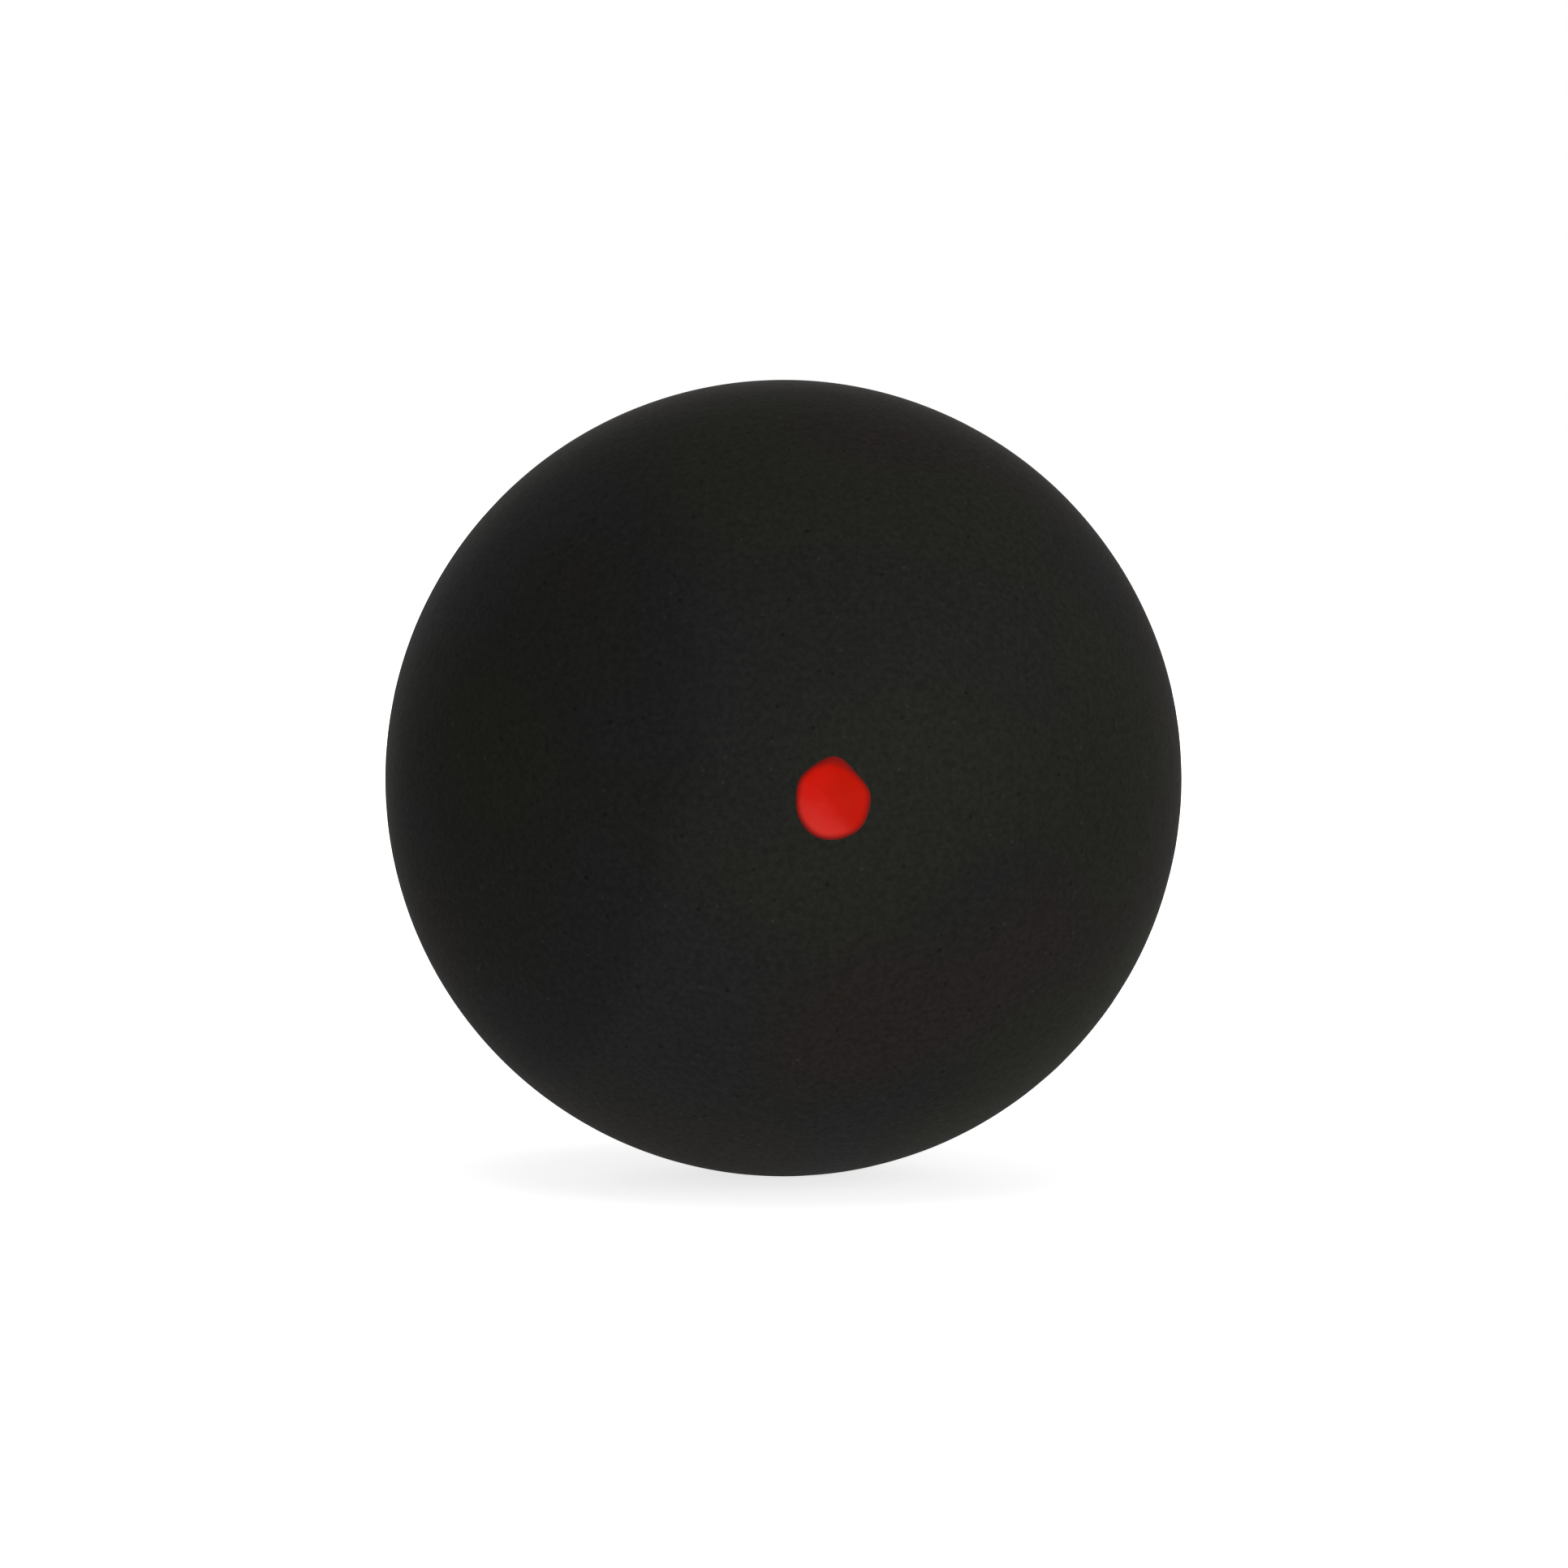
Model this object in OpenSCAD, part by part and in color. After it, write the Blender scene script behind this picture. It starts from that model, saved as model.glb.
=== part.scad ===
// Squash ball: two moulded rubber half shells, bonded rim to rim into a sealed hollow ball,
// with one dab of paint on the outside, the dot that shows the ball's speed.
// Lengths are millimetres. The origin is the centre of the ball, +Z is up, and the dot faces -Y.
// The half shells and their bond are turned about the Y axis from half profiles. In a profile,
// x is the distance from that axis and y is the distance in front of the seam plane, which
// halves the ball.

/* [Ball] */
// Outside diameter of the ball
ball_d = 40; // [32:0.5:60]
// Thickness of a half shell's wall
wall = 4.9; // [3:0.1:8]

/* [Seam] */
// Thickness of the film of rubber solution between the two rims
bond_t = 0.15; // [0.05:0.01:0.4]
// Width of the shallow groove that buffing leaves outside, along the seam
groove_w = 0.5; // [0.3:0.05:1.2]
// Depth of that groove
groove_depth = 0.05; // [0.02:0.01:0.15]
// Width of the bead of solution that squeezed out inside, along the seam
bead_w = 1.6; // [0.8:0.1:3]
// How far that bead stands into the hollow
bead_h = 0.5; // [0.2:0.05:1]

/* [Speed dot] */
// Width of the dot
dot_w = 3.4; // [2:0.05:8]
// Height of the dot, without its nub
dot_h = 3.55; // [2:0.05:8]
// How far the nub at the top stands out, where the brush or pad lifted off
nub_h = 0.2; // [0.05:0.01:0.5]
// Depth of the flat beside the nub
flat_depth = 0.12; // [0.02:0.01:0.3]
// Thickness of the paint in the middle of the dot
dot_t = 0.14; // [0.08:0.01:0.4]
// Thickness of the paint at the tip of the nub
dot_edge_t = 0.05; // [0.02:0.01:0.06]

/* [Hidden] */
$fn = 180;

rubber_colour = "#1e1e1c";
solution_colour = "#2b2722";
paint_colour = "#c4180e";

// Radius of the arc that spans a chord and rises by that much above it
function arc_radius(chord, rise) = (pow(chord / 2, 2) + pow(rise, 2)) / (2 * rise);

ball_r = ball_d / 2;
hollow_r = ball_r - wall;

// The groove and the bead are arcs about rings that lie in the seam plane
groove_r = arc_radius(groove_w, groove_depth);
groove_ring_r = ball_r - groove_depth + groove_r;
bead_r = arc_radius(bead_w, bead_h);
bead_ring_r = hollow_r - bead_h + bead_r;

// The face of the dot is a cap that bulges more than the ball, as a dab of paint dries
dot_reach = max(dot_w, dot_h) / 2 + nub_h;
dot_crown_r = ball_r + dot_t;
dot_tip_y = sqrt(pow(ball_r, 2) - pow(dot_reach, 2)) + dot_edge_t;
dot_cap_r = arc_radius(2 * dot_reach, dot_crown_r - dot_tip_y);

// The outline of the dot is an oval with a nub and a flat, at these angles from +X towards +Z.
// A sharper swell takes up less of the outline.
dot_sides = 72;
dot_facets = 360;
nub_angle = 84;
nub_sharpness = 16;
flat_angle = 44;
flat_sharpness = 12;

function swell(angle, middle, sharpness) = pow((1 + cos(angle - middle)) / 2, sharpness);

function dot_point(angle) =
    let (
        nub = nub_h * swell(angle, nub_angle, nub_sharpness),
        flat = flat_depth * swell(angle, flat_angle, flat_sharpness)
    )
    [(dot_w / 2 + nub - flat) * cos(angle), (dot_h / 2 + nub - flat) * sin(angle)];

// Turns a half profile into a solid about the Y axis, with the profile's +y to the front
module turned() {
    rotate([90, 0, 0]) rotate_extrude() children();
}

// Section of the groove, cut from both rims and from the film between them
module groove_section() {
    translate([groove_ring_r, 0]) circle(groove_r);
}

// Wall of one half shell, from its flat rim at the film to its pole on the axis
module half_shell_section() {
    difference() {
        intersection() {
            circle(ball_r);
            translate([0, bond_t / 2]) square(ball_d);
        }
        circle(hollow_r);
        groove_section();
    }
}

// Film across the whole width of the rims
module film_section() {
    difference() {
        intersection() {
            circle(ball_r);
            translate([hollow_r - bead_h / 2, -bond_t / 2]) square([ball_d, bond_t]);
        }
        groove_section();
    }
}

// Rounded bead against the inside of both half shells
module bead_section() {
    intersection() {
        circle(hollow_r);
        translate([bead_ring_r, 0]) circle(bead_r);
    }
}

module front_half_shell() {
    color(rubber_colour) turned() half_shell_section();
}

// Both halves come from the same mould, so the rear one is the front one turned round
module rear_half_shell() {
    rotate([0, 0, 180]) front_half_shell();
}

module seam_bond() {
    color(solution_colour) turned() {
        film_section();
        bead_section();
    }
}

// Paint within the dot's outline, between the surface of the ball and the cap
module speed_dot() {
    outline = [for (side = [0:dot_sides - 1]) dot_point(360 * side / dot_sides)];
    color(paint_colour) difference() {
        intersection() {
            rotate([90, 0, 0]) linear_extrude(ball_d) polygon(outline);
            translate([0, dot_cap_r - dot_crown_r, 0]) sphere(dot_cap_r, $fn = dot_facets);
        }
        sphere(ball_r, $fn = dot_facets);
    }
}

front_half_shell();
rear_half_shell();
seam_bond();
speed_dot();
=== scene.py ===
# Squash ball: two buffed rubber half shells, the cured solution that bonds them and a dab of
# red paint, on a pale floor. Lengths are metres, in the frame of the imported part: the ball's
# centre is the origin, +Z is up, the dot faces -Y and the seam lies in the XZ plane.

import math

import bmesh
import bpy
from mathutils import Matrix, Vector


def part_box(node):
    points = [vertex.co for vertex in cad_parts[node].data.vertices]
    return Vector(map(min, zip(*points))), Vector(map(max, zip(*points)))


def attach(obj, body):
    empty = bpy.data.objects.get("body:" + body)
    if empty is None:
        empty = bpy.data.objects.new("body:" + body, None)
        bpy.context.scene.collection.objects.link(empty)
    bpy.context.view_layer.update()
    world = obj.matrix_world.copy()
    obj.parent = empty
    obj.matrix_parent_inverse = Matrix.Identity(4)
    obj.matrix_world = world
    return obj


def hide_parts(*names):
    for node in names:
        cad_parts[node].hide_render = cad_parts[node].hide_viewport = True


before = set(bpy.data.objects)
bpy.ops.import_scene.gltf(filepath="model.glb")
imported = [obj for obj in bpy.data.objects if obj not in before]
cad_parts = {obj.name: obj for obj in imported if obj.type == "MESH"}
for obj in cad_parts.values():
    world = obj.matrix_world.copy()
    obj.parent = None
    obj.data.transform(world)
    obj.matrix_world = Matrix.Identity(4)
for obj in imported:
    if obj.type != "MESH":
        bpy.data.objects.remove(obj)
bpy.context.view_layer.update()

MM = 0.001

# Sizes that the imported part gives
BALL_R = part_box("rear_half_shell")[1].y
BOND_HALF_T = -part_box("front_half_shell")[1].y
DOT_LOW = Vector(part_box("speed_dot")[0])

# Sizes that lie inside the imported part
WALL = 4.9 * MM
HOLLOW_R = BALL_R - WALL
GROOVE_W = 0.5 * MM
GROOVE_DEPTH = 0.05 * MM
BEAD_W = 1.6 * MM
BEAD_H = 0.5 * MM

# The photograph's frame, and where the ball and its dot lie in it, in its pixels from the top left
PHOTO_SIDE_PX = 1932
BALL_CENTRE_PX = (965.4, 958.9)
BALL_R_PX = 491.0
DOT_CENTRE_PX = (1026.0, 985.6)
LENS_MM = 105.0
SENSOR_MM = 24.0


def linear(hex_colour, alpha=1.0):
    """An sRGB hex colour as the linear values that a shader takes."""
    parts = [int(hex_colour[i:i + 2], 16) / 255 for i in (1, 3, 5)]
    return [c / 12.92 if c <= 0.04045 else ((c + 0.055) / 1.055) ** 2.4 for c in parts] + [alpha]


def arc_radius(chord, rise):
    """Radius of the arc that spans a chord and rises by that much above it."""
    return ((chord / 2) ** 2 + rise ** 2) / (2 * rise)


def swell(angle, middle, sharpness):
    """From 1 at one direction down to 0 at the opposite one. A sharper swell is narrower."""
    return ((1 + math.cos(angle - middle)) / 2) ** sharpness


def start_piece(name):
    """Names the primitive that was just added, and opens it in edit mode."""
    piece = bpy.context.object
    piece.name = name
    piece.data.name = name
    bpy.ops.object.mode_set(mode="EDIT")
    return piece


def apply_modifier(piece, kind, **settings):
    """Adds a modifier to the piece and applies it."""
    bpy.context.view_layer.objects.active = piece
    modifier = piece.modifiers.new(kind.title(), kind)
    for name, value in settings.items():
        setattr(modifier, name, value)
    bpy.ops.object.modifier_apply(modifier=modifier.name)


def pick(piece, wanted):
    """Selects, in edit mode, the vertices whose place is wanted, and what lies between them."""
    bpy.ops.mesh.select_mode(type="VERT")
    bpy.ops.mesh.select_all(action="DESELECT")
    mesh = bmesh.from_edit_mesh(piece.data)
    for vertex in mesh.verts:
        vertex.select = bool(wanted(vertex.co))
    mesh.select_flush_mode()
    bmesh.update_edit_mesh(piece.data)


def pick_border(piece):
    """Selects, in edit mode, the open edges of the piece."""
    bpy.ops.mesh.select_all(action="DESELECT")
    bpy.ops.mesh.select_non_manifold(
        extend=False, use_wire=False, use_boundary=True, use_multi_face=False,
        use_non_contiguous=False, use_verts=False)


def close_piece(piece, smooth_degrees):
    """Points the faces outwards, leaves edit mode and shades all but the sharp edges smooth."""
    bpy.ops.mesh.select_all(action="SELECT")
    bpy.ops.mesh.normals_make_consistent(inside=False)
    bpy.ops.object.mode_set(mode="OBJECT")
    bpy.ops.object.shade_smooth_by_angle(angle=math.radians(smooth_degrees))


# Rubber half shells

HALVINGS = 5
OUTER_LAST_CUTS = 4
HOLLOW_LAST_CUTS = 1
GROOVE_STEPS = 4
# Points that are this close to a cutting plane lie on it
ON_PLANE = 1e-6


def round_skin(name, radius, last_cuts):
    """A ball of even quads: a cube that is cut finer and rounded, again and again."""
    bpy.ops.object.select_all(action="DESELECT")
    bpy.ops.mesh.primitive_cube_add(size=2 * radius, location=(0, 0, 0))
    skin = start_piece(name)
    bpy.ops.mesh.select_mode(type="VERT")
    for cuts in [1] * HALVINGS + [last_cuts]:
        bpy.ops.mesh.select_all(action="SELECT")
        bpy.ops.mesh.subdivide(number_cuts=cuts)
        bpy.ops.object.mode_set(mode="OBJECT")
        apply_modifier(skin, "CAST", cast_type="SPHERE", factor=1.0, size=radius,
                       use_radius_as_size=False)
        bpy.ops.object.mode_set(mode="EDIT")
    return skin


def groove_radius(y):
    """Distance of the groove's floor from the Y axis, at the distance y from the seam plane."""
    arc = arc_radius(GROOVE_W, GROOVE_DEPTH)
    return BALL_R - GROOVE_DEPTH + arc - math.sqrt(arc ** 2 - y ** 2)


def cut_to_front(y):
    """Cuts the piece in edit mode by the plane at y, and keeps what lies in front of it."""
    bpy.ops.mesh.select_all(action="SELECT")
    bpy.ops.mesh.bisect(plane_co=(0, y, 0), plane_no=(0, 1, 0), clear_outer=True,
                        threshold=ON_PLANE)


def draw_border_on(piece, y_from, y_to, r_from, r_to):
    """Extrudes the open edge of the piece, a ring at y_from, to a ring at y_to."""
    pick_border(piece)
    bpy.ops.mesh.extrude_edges_move(TRANSFORM_OT_translate={"value": (0, y_to - y_from, 0)})
    ratio = r_to / r_from
    bpy.ops.transform.resize(value=(ratio, 1, ratio), center_override=(0, y_to, 0))


def make_front_half(name):
    """The front half shell: outer skin, half of the groove, flat rim and hollow."""
    outer = round_skin(name, BALL_R, OUTER_LAST_CUTS)
    y_was = -GROOVE_W / 2
    cut_to_front(y_was)
    r_was = math.sqrt(BALL_R ** 2 - y_was ** 2)
    for step in range(1, GROOVE_STEPS + 1):
        y = -GROOVE_W / 2 + (GROOVE_W / 2 - BOND_HALF_T) * step / GROOVE_STEPS
        draw_border_on(outer, y_was, y, r_was, groove_radius(y))
        y_was, r_was = y, groove_radius(y)
    bpy.ops.object.mode_set(mode="OBJECT")

    hollow = round_skin(name + "_hollow", HOLLOW_R, HOLLOW_LAST_CUTS)
    cut_to_front(-BOND_HALF_T)
    bpy.ops.mesh.select_all(action="SELECT")
    bpy.ops.mesh.flip_normals()
    bpy.ops.object.mode_set(mode="OBJECT")

    bpy.ops.object.select_all(action="DESELECT")
    hollow.select_set(True)
    outer.select_set(True)
    bpy.context.view_layer.objects.active = outer
    bpy.ops.object.join()
    bpy.ops.object.mode_set(mode="EDIT")
    bpy.ops.mesh.select_mode(type="EDGE")
    pick_border(outer)
    bpy.ops.mesh.bridge_edge_loops()
    close_piece(outer, smooth_degrees=60)
    return outer


def make_rear_half(name, front):
    """The other half out of the same mould, turned round to close the ball."""
    bpy.ops.object.select_all(action="DESELECT")
    front.select_set(True)
    bpy.context.view_layer.objects.active = front
    bpy.ops.object.duplicate()
    rear = start_piece(name)
    bpy.ops.mesh.select_all(action="SELECT")
    bpy.ops.transform.rotate(value=math.pi, orient_axis="Z", center_override=(0, 0, 0))
    bpy.ops.object.mode_set(mode="OBJECT")
    return rear


def cloud_relief(name, size, depth):
    """A soft noise with lumps of that size, for a relief of that depth."""
    clouds = bpy.data.textures.new(name, "CLOUDS")
    clouds.noise_scale = size
    clouds.noise_depth = 1
    return clouds, depth


WAVES = cloud_relief("buffing_waves", 5.0 * MM, 0.030 * MM)
LUMPS = cloud_relief("buffing_lumps", 0.9 * MM, 0.008 * MM)
PAINT_LUMPS = cloud_relief("paint_lumps", 0.8 * MM, 0.016 * MM)
SOLUTION_LUMPS = cloud_relief("solution_lumps", 0.7 * MM, 0.020 * MM)
RELIEF_FADE = 2.0 * MM
RELIEF_SHARES = 16
RELIEF_GROUP = "relief"


def relieve(piece, reliefs, share_at):
    """Sinks reliefs into the skin of the piece, by the share of their depth at each place."""
    group = piece.vertex_groups.new(name=RELIEF_GROUP)
    by_share = {}
    for vertex in piece.data.vertices:
        share = round(min(max(share_at(vertex.co), 0), 1) * RELIEF_SHARES)
        by_share.setdefault(share, []).append(vertex.index)
    for share, indices in by_share.items():
        group.add(indices, share / RELIEF_SHARES, "REPLACE")
    bpy.ops.object.select_all(action="DESELECT")
    piece.select_set(True)
    for clouds, depth in reliefs:
        apply_modifier(piece, "DISPLACE", texture=clouds, texture_coords="LOCAL", strength=depth,
                       mid_level=1.0, vertex_group=RELIEF_GROUP)
    piece.vertex_groups.clear()


def rubber_share(place):
    """All of the relief on the open skin, and none in the hollow, on the rim and in the groove."""
    if place.length < BALL_R - 2 * GROOVE_DEPTH:
        return 0
    return (abs(place.y) - GROOVE_W / 2) / RELIEF_FADE


# Cured solution in the seam

BOND_TURNS = 512
BEAD_STEPS = 6
# The bead starts this far in from the hollow's radius, where the round wall meets its flanks
BEAD_SET_IN = 0.01 * MM
# Points that are this close together lie on one ring of the bond, or are one point
SAME_RING = 0.001 * MM
SAME_POINT = 0.0005 * MM


def make_seam_bond(name):
    """The bond: its section is drawn as a strip, from the groove to the bead, and spun round."""
    bpy.ops.object.select_all(action="DESELECT")
    outer_x = groove_radius(0)
    bpy.ops.mesh.primitive_plane_add(size=2, location=(0, 0, 0))
    bond = start_piece(name)
    bpy.ops.mesh.select_all(action="SELECT")
    bpy.ops.transform.resize(value=((outer_x - HOLLOW_R) / 2, BOND_HALF_T, 1),
                             center_override=(0, 0, 0))
    bpy.ops.transform.translate(value=((outer_x + HOLLOW_R) / 2, 0, 0))

    bead_arc = arc_radius(BEAD_W, BEAD_H)
    x_was, half_was = HOLLOW_R, BOND_HALF_T
    for step in range(BEAD_STEPS + 1):
        turn = math.asin(BEAD_W / 2 / bead_arc) * (1 - step / (BEAD_STEPS + 1))
        x = HOLLOW_R - BEAD_H - BEAD_SET_IN + bead_arc * (1 - math.cos(turn))
        half = bead_arc * math.sin(turn)
        pick(bond, lambda place: abs(place.x - x_was) < SAME_RING)
        bpy.ops.mesh.extrude_edges_move(TRANSFORM_OT_translate={"value": (x - x_was, 0, 0)})
        bpy.ops.transform.resize(value=(1, half / half_was, 1), center_override=(0, 0, 0))
        x_was, half_was = x, half
    bpy.ops.mesh.select_mode(type="FACE")
    bpy.ops.mesh.select_all(action="SELECT")
    bpy.ops.mesh.dissolve_faces()
    bpy.ops.mesh.delete(type="ONLY_FACE")
    bpy.ops.mesh.select_all(action="SELECT")
    bpy.ops.mesh.spin(steps=BOND_TURNS, angle=2 * math.pi, center=(0, 0, 0), axis=(0, 1, 0))
    bpy.ops.mesh.select_all(action="SELECT")
    bpy.ops.mesh.remove_doubles(threshold=SAME_POINT)
    close_piece(bond, smooth_degrees=35)
    return bond


# Paint of the speed dot

DOT_SIDES = 96
DOT_W = -2 * DOT_LOW.x
DOT_H = -2 * DOT_LOW.z
DOT_T = -DOT_LOW.y - BALL_R
DOT_EDGE_T = 0.05 * MM
# The edge of the dab goes on under the skin of the ball: so deep, and this much wider
DOT_SUNK = 0.06 * MM
DOT_SPREAD = 1.08
NUB_H = 0.225 * MM
NUB_ANGLE = math.radians(85)
NUB_SHARPNESS = 32
NUB_T = 0.038 * MM
FLAT_DEPTH = 0.15 * MM
FLAT_ANGLE = math.radians(47)
FLAT_SHARPNESS = 12
# The uneven edge of a dab: how far it stands out, where, and how sharply
EDGE_LOBES = [(0.04 * MM, math.radians(244), 30), (0.05 * MM, math.radians(316), 30),
              (-0.04 * MM, math.radians(181), 30), (0.04 * MM, math.radians(147), 60),
              (0.06 * MM, math.radians(10), 50)]
# The rings of the dab, from its outline to its middle, as shares of the outline
DAB_RINGS = [0.99, 0.975, 0.955, 0.93, 0.9, 0.86, 0.81, 0.74, 0.65, 0.54, 0.42, 0.29, 0.15]
SHOULDER_SHARPNESS = 9


def body_outline(angle):
    """The outline of the dab's body in that direction from +X towards +Z: an oval with a flat."""
    out = -FLAT_DEPTH * swell(angle, FLAT_ANGLE, FLAT_SHARPNESS)
    for height, middle, sharpness in EDGE_LOBES:
        out += height * swell(angle, middle, sharpness)
    oval = Vector(((DOT_W / 2 + out) * math.cos(angle), 0, (DOT_H / 2 + out) * math.sin(angle)))
    return oval * DOT_SPREAD


def dab_outline(angle):
    """The outline of the body with the nub of thin paint, where the pad lifted off."""
    body = body_outline(angle)
    return body + body.normalized() * NUB_H * swell(angle, NUB_ANGLE, NUB_SHARPNESS)


def swollen(thickness, out):
    """Height of paint above the ball, rounded off at its edge, at that share of the way out."""
    shoulder = math.sqrt(1 - min(out, 1) ** SHOULDER_SHARPNESS)
    return (thickness + DOT_SUNK) * shoulder - DOT_SUNK


def make_speed_dot(name):
    """The dab: its outline, drawn inwards ring by ring, laid on the ball and swollen."""
    bpy.ops.object.select_all(action="DESELECT")
    bpy.ops.mesh.primitive_circle_add(vertices=DOT_SIDES, radius=DOT_W / 2, fill_type="NOTHING",
                                      location=(0, 0, 0))
    dab = start_piece(name)
    mesh = bmesh.from_edit_mesh(dab.data)
    for vertex in mesh.verts:
        vertex.co = dab_outline(math.atan2(vertex.co.y, vertex.co.x))
    bmesh.update_edit_mesh(dab.data)
    bpy.ops.mesh.select_mode(type="EDGE")
    bpy.ops.mesh.select_all(action="SELECT")
    share_was = 1
    for share in DAB_RINGS:
        bpy.ops.mesh.extrude_edges_move()
        bpy.ops.transform.resize(value=(share / share_was, 1, share / share_was),
                                 center_override=(0, 0, 0))
        share_was = share
    bpy.ops.mesh.edge_face_add()
    bpy.ops.mesh.poke()

    mesh = bmesh.from_edit_mesh(dab.data)
    for vertex in mesh.verts:
        across = Vector((vertex.co.x, 0, vertex.co.z))
        angle = math.atan2(across.z, across.x)
        out = across.length / body_outline(angle).length
        cap = DOT_T - (DOT_T - DOT_EDGE_T) * out ** 2
        height = max(swollen(cap, out), swollen(NUB_T, across.length / dab_outline(angle).length))
        vertex.co.y = -math.sqrt((BALL_R + height) ** 2 - across.length ** 2)
    bmesh.update_edit_mesh(dab.data)
    pick_border(dab)
    bpy.ops.mesh.extrude_edges_move(TRANSFORM_OT_translate={"value": (0, DOT_SUNK, 0)})
    bpy.ops.mesh.edge_face_add()
    close_piece(dab, smooth_degrees=80)
    apply_modifier(dab, "SUBSURF", levels=1, render_levels=1)
    return dab


# Materials

# The mix node's sockets by number, since those for numbers and for colours share their names
SHARE = 0
NUMBER_A, NUMBER_B = 2, 3
COLOUR_A, COLOUR_B, MIXED_COLOUR = 6, 7, 2

# Nearly all values of a noise lie between these
NOISE_LOW, NOISE_HIGH = 0.3, 0.7
REFRACTION = 1.5


def add_node(tree, kind, settings=None, inputs=None):
    """Adds one node. A value in inputs is either a plain value or another node's output."""
    made = tree.nodes.new(kind)
    for name, value in (settings or {}).items():
        setattr(made, name, value)
    for name, value in (inputs or {}).items():
        if isinstance(value, bpy.types.NodeSocket):
            tree.links.new(value, made.inputs[name])
        else:
            made.inputs[name].default_value = value
    return made


def new_material(name):
    """An empty node material, as (material, tree, output)."""
    material = bpy.data.materials.new(name)
    material.use_nodes = True
    tree = material.node_tree
    tree.nodes.clear()
    return material, tree, add_node(tree, "ShaderNodeOutputMaterial")


def finish_with(piece, material):
    """Gives the piece one material."""
    piece.data.materials.clear()
    piece.data.materials.append(material)


RUBBER_BLACK = "#202120"
RUBBER_ROUGHNESS = (0.87, 0.97)
RUBBER_SHINE = 0.05

# Bloom lies on the rubber in clouds. The shift puts them where the ball shows them. Of each: its
# colour, the noise that it is taken from, and where in that noise it starts and is full
CLOUD_SIZE = 14 * MM
CLOUD_SHIFT = (-0.167, 0.141, -0.875)
CLOUDS = (("#22231e", 0, 0.39, 0.58), ("#24211f", 1, 0.48, 0.66))

# Two soft patches of painted shade darken the rubber at the left and the lower right, where the
# light falls off. Of each: its middle and its reach across, in depth and up, both in radii of the
# ball, its turn about Y, the share of its reach at which its edge begins, and its tone against the
# rubber's. The clouds make the edges uneven.
SHADE_PATCHES = (((-0.77, -0.59, -0.25), (0.41, 0.8, 1.1), math.radians(24), 0.75, 0.83),
                ((0.60, -0.70, -0.39), (1.1, 0.5, 0.83), math.radians(-9), 0.4, 0.82))
SHADE_PATCH_UNEVENNESS = 0.3

# Open grain of the ground skin. Real grit leaves about 0.1 mm. It is drawn at 0.3 mm to show.
GRAIN_SIZE = 0.3 * MM
GRAIN_DEPTH = 0.04 * MM
# The noise of the grain from where it is darkest to where it is lightest, and its tones there
GRAIN_SPREAD = (0.34, 0.66)
GRAIN_TONES = (0.8, 1.2)

# Buffing opens bubbles in the rubber into pin holes, and leaves pale crumbs of rubber dust. Both
# are about 0.1 mm across on a real ball. They are drawn at up to 0.3 mm to show. Of each: how far
# apart, its radius, its tone against the rubber's, and its depth or height
# The pin holes' darker tone is painted shade in the holes. The crumbs' paler tone is their own.
PIN_HOLES = (1.3 * MM, 0.15 * MM, 0.55, 0.05 * MM)
DUST_CRUMBS = (1.1 * MM, 0.13 * MM, 1.5, 0.03 * MM)
# Each keeps its full tone out to this share of its radius
SPOT_CORE = 0.4

# Buffing marks are 3 mm long and 0.15 mm wide. They turn from patch to patch, where the noise of
# the patches goes from the first of the turns to the second.
MARK_STRETCHES = ((0.35, 6, 6), (6, 6, 0.35))
MARK_DEPTH = 0.012 * MM
MARK_PATCH = 7 * MM
MARK_TURNS = (0.42, 0.58)

# How strongly each shows in the relief
MARK_STRENGTH = 0.5
SPOT_STRENGTH = 0.6
GRAIN_STRENGTH = 0.6


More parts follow.
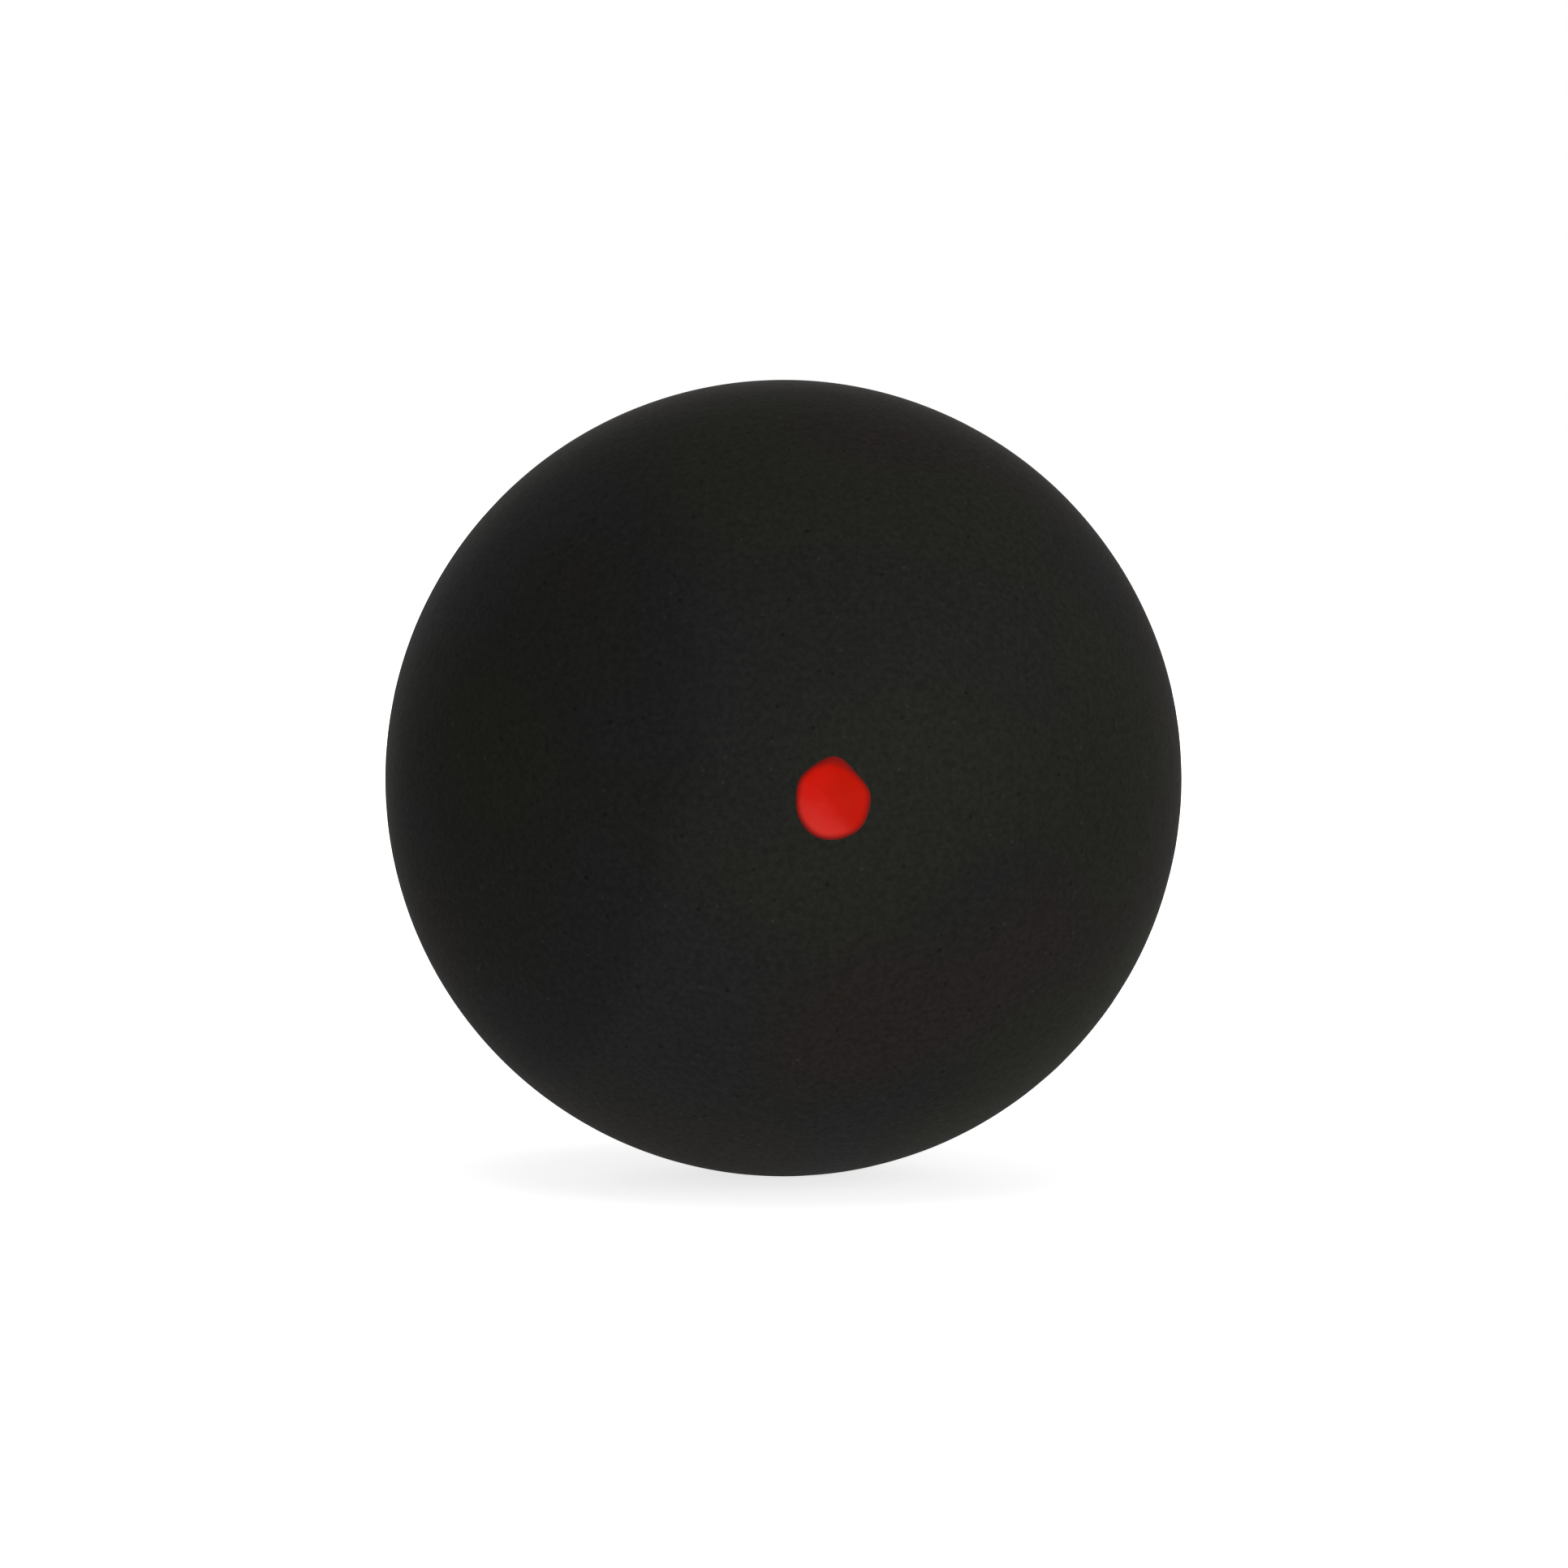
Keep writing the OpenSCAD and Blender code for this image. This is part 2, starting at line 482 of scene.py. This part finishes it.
def rubber_material():
    """Black squash rubber, moulded and then buffed with fine grit.

    It gives the eye a dull charcoal black that only lights up a little at a glancing angle, with
    a fine open grain, pin holes darkened by painted shade, pale crumbs, short buffing marks, soft
    clouds of bloom, and two soft patches of painted shade at the left and the lower right.
    """
    material, tree, output = new_material("buffed_black_rubber")
    place = add_node(tree, "ShaderNodeTexCoord").outputs["Object"]

    cloud_place = add_node(tree, "ShaderNodeMapping", inputs={
        "Vector": place, "Location": CLOUD_SHIFT})
    clouds = add_node(tree, "ShaderNodeTexNoise", inputs={
        "Vector": cloud_place.outputs["Vector"], "Scale": 1 / CLOUD_SIZE, "Detail": 1.0,
        "Roughness": 0.4})
    noises = add_node(tree, "ShaderNodeSeparateColor", inputs={"Color": clouds.outputs["Color"]})
    shade = linear(RUBBER_BLACK)
    for bloom, noise, begins, full in CLOUDS:
        share = add_node(tree, "ShaderNodeMapRange", {"interpolation_type": "SMOOTHSTEP"}, {
            "Value": noises.outputs[noise], "From Min": begins, "From Max": full})
        shade = add_node(tree, "ShaderNodeMix", {"data_type": "RGBA"}, {
            SHARE: share.outputs[0], COLOUR_A: shade,
            COLOUR_B: linear(bloom)}).outputs[MIXED_COLOUR]

    grain = add_node(tree, "ShaderNodeTexNoise", inputs={
        "Vector": place, "Scale": 1 / GRAIN_SIZE, "Detail": 3.0, "Roughness": 0.65})
    grain_tone = add_node(tree, "ShaderNodeMapRange", inputs={
        "Value": grain.outputs["Fac"], "From Min": GRAIN_SPREAD[0], "From Max": GRAIN_SPREAD[1],
        "To Min": GRAIN_TONES[0], "To Max": GRAIN_TONES[1]})
    tones = [grain_tone.outputs[0]]
    # Painted shade: two soft patches darken the rubber at the left and the lower right.
    for middle, reach, turn, begins, tone in SHADE_PATCHES:
        way = add_node(tree, "ShaderNodeMapping", {"vector_type": "TEXTURE"}, {
            "Vector": place, "Location": Vector(middle) * BALL_R, "Rotation": (0, turn, 0),
            "Scale": Vector(reach) * BALL_R})
        out = add_node(tree, "ShaderNodeVectorMath", {"operation": "LENGTH"}, {
            0: way.outputs["Vector"]})
        uneven = add_node(tree, "ShaderNodeMath", {"operation": "MULTIPLY_ADD"}, {
            0: noises.outputs[2], 1: SHADE_PATCH_UNEVENNESS, 2: out.outputs["Value"]})
        patch_shade = add_node(tree, "ShaderNodeMapRange", {"interpolation_type": "SMOOTHSTEP"}, {
            "Value": uneven.outputs[0], "From Min": begins + SHADE_PATCH_UNEVENNESS / 2,
            "From Max": 1 + SHADE_PATCH_UNEVENNESS / 2, "To Min": tone, "To Max": 1.0})
        tones.append(patch_shade.outputs[0])
    spot_reliefs = []
    # The pin holes are darkened with painted shade in them; the crumbs are pale dust.
    for spacing, radius, tone, depth in (PIN_HOLES, DUST_CRUMBS):
        cells = add_node(tree, "ShaderNodeTexVoronoi", inputs={
            "Vector": place, "Scale": 1 / spacing})
        spot = add_node(tree, "ShaderNodeMapRange", {"interpolation_type": "SMOOTHSTEP"}, {
            "Value": cells.outputs["Distance"], "From Min": SPOT_CORE * radius / spacing,
            "From Max": radius / spacing, "To Min": tone, "To Max": 1.0})
        tones.append(spot.outputs[0])
        spot_reliefs.append((spot.outputs[0], SPOT_STRENGTH, depth))
    for tone in tones:
        shade = add_node(tree, "ShaderNodeMix", {"data_type": "RGBA", "blend_type": "MULTIPLY"}, {
            SHARE: 1.0, COLOUR_A: shade, COLOUR_B: tone}).outputs[MIXED_COLOUR]

    marks = []
    for stretch in MARK_STRETCHES:
        along = add_node(tree, "ShaderNodeMapping", inputs={"Vector": place, "Scale": stretch})
        marks.append(add_node(tree, "ShaderNodeTexNoise", inputs={
            "Vector": along.outputs["Vector"], "Scale": 1 / MM, "Detail": 2.0,
            "Distortion": 0.4}).outputs["Fac"])
    patches = add_node(tree, "ShaderNodeTexNoise", inputs={
        "Vector": place, "Scale": 1 / MARK_PATCH, "Detail": 0.0})
    turned = add_node(tree, "ShaderNodeMapRange", {"interpolation_type": "SMOOTHSTEP"}, {
        "Value": patches.outputs["Fac"], "From Min": MARK_TURNS[0], "From Max": MARK_TURNS[1]})
    mark = add_node(tree, "ShaderNodeMix", {"data_type": "FLOAT"}, {
        SHARE: turned.outputs[0], NUMBER_A: marks[0], NUMBER_B: marks[1]}).outputs[0]

    roughness = add_node(tree, "ShaderNodeMapRange", inputs={
        "Value": mark, "From Min": NOISE_LOW, "From Max": NOISE_HIGH,
        "To Min": RUBBER_ROUGHNESS[0], "To Max": RUBBER_ROUGHNESS[1]})
    relief = {}
    for height, strength, depth in ((mark, MARK_STRENGTH, MARK_DEPTH), *spot_reliefs,
                                    (grain.outputs["Fac"], GRAIN_STRENGTH, GRAIN_DEPTH)):
        bump = add_node(tree, "ShaderNodeBump", inputs={
            "Height": height, "Strength": strength, "Distance": depth, **relief})
        relief = {"Normal": bump.outputs["Normal"]}
    shader = add_node(tree, "ShaderNodeBsdfPrincipled", inputs={
        "Base Color": shade, "Roughness": roughness.outputs[0], "IOR": REFRACTION,
        "Specular IOR Level": RUBBER_SHINE, **relief})
    tree.links.new(shader.outputs["BSDF"], output.inputs["Surface"])
    return material


PAINT_RED = "#ca1608"
PAINT_ROUGHNESS = (0.36, 0.5)
PAINT_SHINE = 0.03
# Thin paint lets the black through. It covers fully from this thickness on.
THIN_PAINT = "#7c1511"
FULL_PAINT_T = 0.065 * MM
# Painted shade and a painted highlight on the domed dab: a deeper red to the right and a chalky,
# paler red to the lower left. Of each tint: its colour, the most of it, its direction across and
# up, and how far that way, from the middle to the edge, it starts and is full. Streaks make that
# uneven, by up to the push.
PAINT_SHADE_AND_HIGHLIGHT = (("#b91200", 1.0, (0.8, 0.1), 0.0, 0.75), ("#ce322b", 0.8, (-0.5, -0.65), 0.4, 1.15))
STREAK_SIZE = 1.1 * MM
STREAK_PUSH = 0.8
# The skin wrinkles finely as it dries: from crest to crest, and from crest to trough
WRINKLE_SIZE = 0.25 * MM
WRINKLE_DEPTH = 0.01 * MM


def paint_material():
    """Red paint that stays flexible, dabbed on with a pad and dried to a satin skin.

    It gives the eye a full signal red with a slight shine, with painted shade that makes it deeper
    to the right and a painted highlight that makes it chalkier to the lower left. Thin paint, at
    the edge and on the nub, lets the black through and looks dark red.
    """
    material, tree, output = new_material("red_satin_paint")
    place = add_node(tree, "ShaderNodeTexCoord").outputs["Object"]

    streaks = add_node(tree, "ShaderNodeTexNoise", inputs={
        "Vector": place, "Scale": 1 / STREAK_SIZE, "Detail": 2.0})
    shade = linear(PAINT_RED)
    # Painted shade deepens the red to the right, and a painted highlight makes it chalkier to the
    # lower left.
    for tint, most, (across, up), begins, full in PAINT_SHADE_AND_HIGHLIGHT:
        side = add_node(tree, "ShaderNodeVectorMath", {"operation": "DOT_PRODUCT"}, {
            0: place, 1: (across / (DOT_W / 2), 0, up / (DOT_H / 2))})
        painted_side = add_node(tree, "ShaderNodeMath", {"operation": "MULTIPLY_ADD"}, {
            0: streaks.outputs["Fac"], 1: STREAK_PUSH, 2: side.outputs["Value"]})
        share = add_node(tree, "ShaderNodeMapRange", {"interpolation_type": "SMOOTHSTEP"}, {
            "Value": painted_side.outputs[0], "From Min": begins, "From Max": full, "To Max": most})
        shade = add_node(tree, "ShaderNodeMix", {"data_type": "RGBA"}, {
            SHARE: share.outputs[0], COLOUR_A: shade,
            COLOUR_B: linear(tint)}).outputs[MIXED_COLOUR]

    height = add_node(tree, "ShaderNodeVectorMath", {"operation": "LENGTH"}, {0: place})
    cover = add_node(tree, "ShaderNodeMapRange", {"interpolation_type": "SMOOTHSTEP"}, {
        "Value": height.outputs["Value"], "From Min": BALL_R, "From Max": BALL_R + FULL_PAINT_T})
    shade = add_node(tree, "ShaderNodeMix", {"data_type": "RGBA"}, {
        SHARE: cover.outputs[0], COLOUR_A: linear(THIN_PAINT),
        COLOUR_B: shade}).outputs[MIXED_COLOUR]

    skin = add_node(tree, "ShaderNodeTexNoise", inputs={
        "Vector": place, "Scale": 1 / WRINKLE_SIZE, "Detail": 2.0})
    roughness = add_node(tree, "ShaderNodeMapRange", inputs={
        "Value": skin.outputs["Fac"], "From Min": NOISE_LOW, "From Max": NOISE_HIGH,
        "To Min": PAINT_ROUGHNESS[0], "To Max": PAINT_ROUGHNESS[1]})
    bump = add_node(tree, "ShaderNodeBump", inputs={
        "Height": skin.outputs["Fac"], "Strength": 0.4, "Distance": WRINKLE_DEPTH})
    shader = add_node(tree, "ShaderNodeBsdfPrincipled", inputs={
        "Base Color": shade, "Roughness": roughness.outputs[0], "IOR": REFRACTION,
        "Specular IOR Level": PAINT_SHINE, "Normal": bump.outputs["Normal"]})
    tree.links.new(shader.outputs["BSDF"], output.inputs["Surface"])
    return material


# Wiping leaves soft smears about 1.5 mm long in the solution, between these two colours
SMEAR_SCALE = 0.8 * MM
SMEAR_DEPTH = 0.02 * MM
SMEAR_COLOURS = ("#1b1816", "#29241f")
SOLUTION_ROUGHNESS = (0.55, 0.72)
SOLUTION_SHINE = 0.07


def solution_material():
    """Rubber solution, wiped off flush and cured in the seam.

    It gives the eye a thin line that is a touch browner and slicker than the rubber beside it.
    """
    material, tree, output = new_material("cured_rubber_solution")
    place = add_node(tree, "ShaderNodeTexCoord").outputs["Object"]
    smears = add_node(tree, "ShaderNodeTexNoise", inputs={
        "Vector": place, "Scale": 1 / SMEAR_SCALE, "Detail": 2.0})
    shade = add_node(tree, "ShaderNodeMix", {"data_type": "RGBA"}, {
        SHARE: smears.outputs["Fac"], COLOUR_A: linear(SMEAR_COLOURS[0]),
        COLOUR_B: linear(SMEAR_COLOURS[1])})
    roughness = add_node(tree, "ShaderNodeMapRange", inputs={
        "Value": smears.outputs["Fac"], "From Min": NOISE_LOW, "From Max": NOISE_HIGH,
        "To Min": SOLUTION_ROUGHNESS[0], "To Max": SOLUTION_ROUGHNESS[1]})
    bump = add_node(tree, "ShaderNodeBump", inputs={
        "Height": smears.outputs["Fac"], "Strength": 0.5, "Distance": SMEAR_DEPTH})
    shader = add_node(tree, "ShaderNodeBsdfPrincipled", inputs={
        "Base Color": shade.outputs[MIXED_COLOUR], "Roughness": roughness.outputs[0],
        "IOR": REFRACTION, "Specular IOR Level": SOLUTION_SHINE,
        "Normal": bump.outputs["Normal"]})
    tree.links.new(shader.outputs["BSDF"], output.inputs["Surface"])
    return material


# Room: floor, surroundings, lights and camera


FLOOR_SIZE = 6
FLOOR_COLOUR = "#eeeeee"

# Shares of white by which the floor glows under the ball and away from it, and how far from the
# ball's middle the first ends and the second begins. To the eye it glows less where the ball's
# shadow lies. Its glow onto the ball is painted bounce light, which comes more from close under
# it.
FLOOR_GLOW = (0.75, 1.0, 0.06, 0.30)
FLOOR_GLOW_ONTO_BALL = (0.72, 0.25, 0.008, 0.03)


def ray_is(tree, *kinds):
    """1 for a ray of one of these kinds, and 0 for any other."""
    rays = add_node(tree, "ShaderNodeLightPath")
    found = rays.outputs[kinds[0]]
    for kind in kinds[1:]:
        found = add_node(tree, "ShaderNodeMath", {"operation": "MAXIMUM"}, {
            0: found, 1: rays.outputs[kind]}).outputs[0]
    return found


def add_floor():
    """A pale floor under the ball, white to the eye, that keeps the ball's shadow."""
    bpy.ops.object.select_all(action="DESELECT")
    bpy.ops.mesh.primitive_plane_add(size=FLOOR_SIZE, location=(0, 0, -BALL_R))
    floor = bpy.context.object
    floor.name = "floor"
    material, tree, output = new_material("pale_floor")
    shader = add_node(tree, "ShaderNodeBsdfDiffuse", inputs={
        "Color": linear(FLOOR_COLOUR)})
    place = add_node(tree, "ShaderNodeTexCoord").outputs["Object"]
    way_off = add_node(tree, "ShaderNodeVectorMath", {"operation": "LENGTH"}, {0: place})
    shares = []
    # The glow onto the ball is painted bounce light, strongest close under it.
    for near, far, near_ends, far_begins in (FLOOR_GLOW_ONTO_BALL, FLOOR_GLOW):
        share = add_node(tree, "ShaderNodeMapRange", {"interpolation_type": "SMOOTHSTEP"}, {
            "Value": way_off.outputs["Value"], "From Min": near_ends, "From Max": far_begins,
            "To Min": near, "To Max": far})
        shares.append(share.outputs[0])
    strength = add_node(tree, "ShaderNodeMix", {"data_type": "FLOAT"}, {
        SHARE: ray_is(tree, "Is Camera Ray", "Is Glossy Ray"), NUMBER_A: shares[0],
        NUMBER_B: shares[1]})
    glow = add_node(tree, "ShaderNodeEmission", inputs={
        "Color": (1, 1, 1, 1), "Strength": strength.outputs[0]})
    both = add_node(tree, "ShaderNodeAddShader", inputs={
        0: shader.outputs["BSDF"], 1: glow.outputs["Emission"]})
    tree.links.new(both.outputs["Shader"], output.inputs["Surface"])
    floor.data.materials.append(material)


# Strength of the world as a light, where 1 is the white that the eye sees
WORLD_LIGHT = 0.25


def add_world():
    """White to the eye and in reflections, and an even soft light on everything."""
    world = bpy.data.worlds.new("studio")
    bpy.context.scene.world = world
    world.use_nodes = True
    tree = world.node_tree
    tree.nodes.clear()
    output = add_node(tree, "ShaderNodeOutputWorld")
    seen = ray_is(tree, "Is Camera Ray", "Is Transmission Ray", "Is Glossy Ray")
    strength = add_node(tree, "ShaderNodeMix", {"data_type": "FLOAT"}, {
        SHARE: seen, NUMBER_A: WORLD_LIGHT, NUMBER_B: 1.0})
    glow = add_node(tree, "ShaderNodeBackground", inputs={
        "Color": (1, 1, 1, 1), "Strength": strength.outputs[0]})
    tree.links.new(glow.outputs["Background"], output.inputs["Surface"])


# Name, azimuth and elevation in degrees, distance, side and watts
SOFTBOXES = [
    ("key_light", 45, 20, 0.6, 0.5, 0.8),
    ("low_fill", 10, -12, 0.09, 0.05, 0.033),
    ("back_light", 180, 10, 0.6, 0.5, 1.4),
    ("top_light", 0, 85, 0.6, 0.5, 1.0),
]


def add_softbox(name, azimuth, elevation, distance, side, watts):
    """A square soft light that faces the ball. Azimuth 0 is in front, and 90 is to the right."""
    a, e = math.radians(azimuth), math.radians(elevation)
    away = Vector((math.sin(a) * math.cos(e), -math.cos(a) * math.cos(e), math.sin(e)))
    bpy.ops.object.light_add(type="AREA", location=away * distance)
    light = bpy.context.object
    light.name = name
    light.data.size = side
    light.data.energy = watts
    light.visible_camera = False
    light.rotation_mode = "QUATERNION"
    light.rotation_quaternion = away.to_track_quat("Z", "Y")


def add_camera():
    """The camera. The ball's size in the photograph gives its distance, and the dot its turn."""
    focal_px = LENS_MM / SENSOR_MM * PHOTO_SIDE_PX
    distance = BALL_R / math.sin(math.atan(BALL_R_PX / focal_px))
    right_px = DOT_CENTRE_PX[0] - BALL_CENTRE_PX[0]
    down_px = DOT_CENTRE_PX[1] - BALL_CENTRE_PX[1]
    off_px = math.hypot(right_px, down_px)
    # The dot lies this far off the line of sight, as an angle at the ball's centre
    sight = math.atan(off_px / focal_px)
    off_axis = math.asin(math.sin(sight) * distance / BALL_R) - sight
    azimuth = -math.asin(math.sin(off_axis) * right_px / off_px)
    elevation = math.asin(math.sin(off_axis) * down_px / off_px / math.cos(azimuth))
    back = Vector((math.sin(azimuth) * math.cos(elevation),
                   -math.cos(azimuth) * math.cos(elevation), math.sin(elevation)))
    bpy.ops.object.camera_add(location=back * distance)
    camera = bpy.context.object
    camera.name = "camera"
    camera.rotation_mode = "QUATERNION"
    camera.rotation_quaternion = (-back).to_track_quat("-Z", "Y")
    camera.data.lens = LENS_MM
    camera.data.sensor_width = SENSOR_MM
    camera.data.clip_start = 0.1 * distance
    camera.data.clip_end = 100 * distance
    camera.data.shift_x = (PHOTO_SIDE_PX / 2 - BALL_CENTRE_PX[0]) / PHOTO_SIDE_PX
    camera.data.shift_y = (BALL_CENTRE_PX[1] - PHOTO_SIDE_PX / 2) / PHOTO_SIDE_PX
    bpy.context.scene.camera = camera


# The object

RUBBER = rubber_material()

front_half = make_front_half("front_rubber_half")
rear_half = make_rear_half("rear_rubber_half", front_half)
for half, node in ((front_half, "front_half_shell"), (rear_half, "rear_half_shell")):
    relieve(half, [WAVES, LUMPS], rubber_share)
    finish_with(half, RUBBER)
    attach(half, "root")
    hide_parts(node)

seam_bond = make_seam_bond("seam_solution")
relieve(seam_bond, [SOLUTION_LUMPS], lambda place: place.length > BALL_R - 2 * GROOVE_DEPTH)
finish_with(seam_bond, solution_material())
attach(seam_bond, "root")
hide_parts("seam_bond")

speed_dot = make_speed_dot("red_paint_dot")
relieve(speed_dot, [PAINT_LUMPS], lambda place: (place.length - BALL_R) / DOT_EDGE_T)
finish_with(speed_dot, paint_material())
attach(speed_dot, "root")
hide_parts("speed_dot")

# The room

add_floor()
add_world()
for softbox in SOFTBOXES:
    add_softbox(*softbox)
add_camera()

bpy.context.scene.view_settings.view_transform = "Standard"
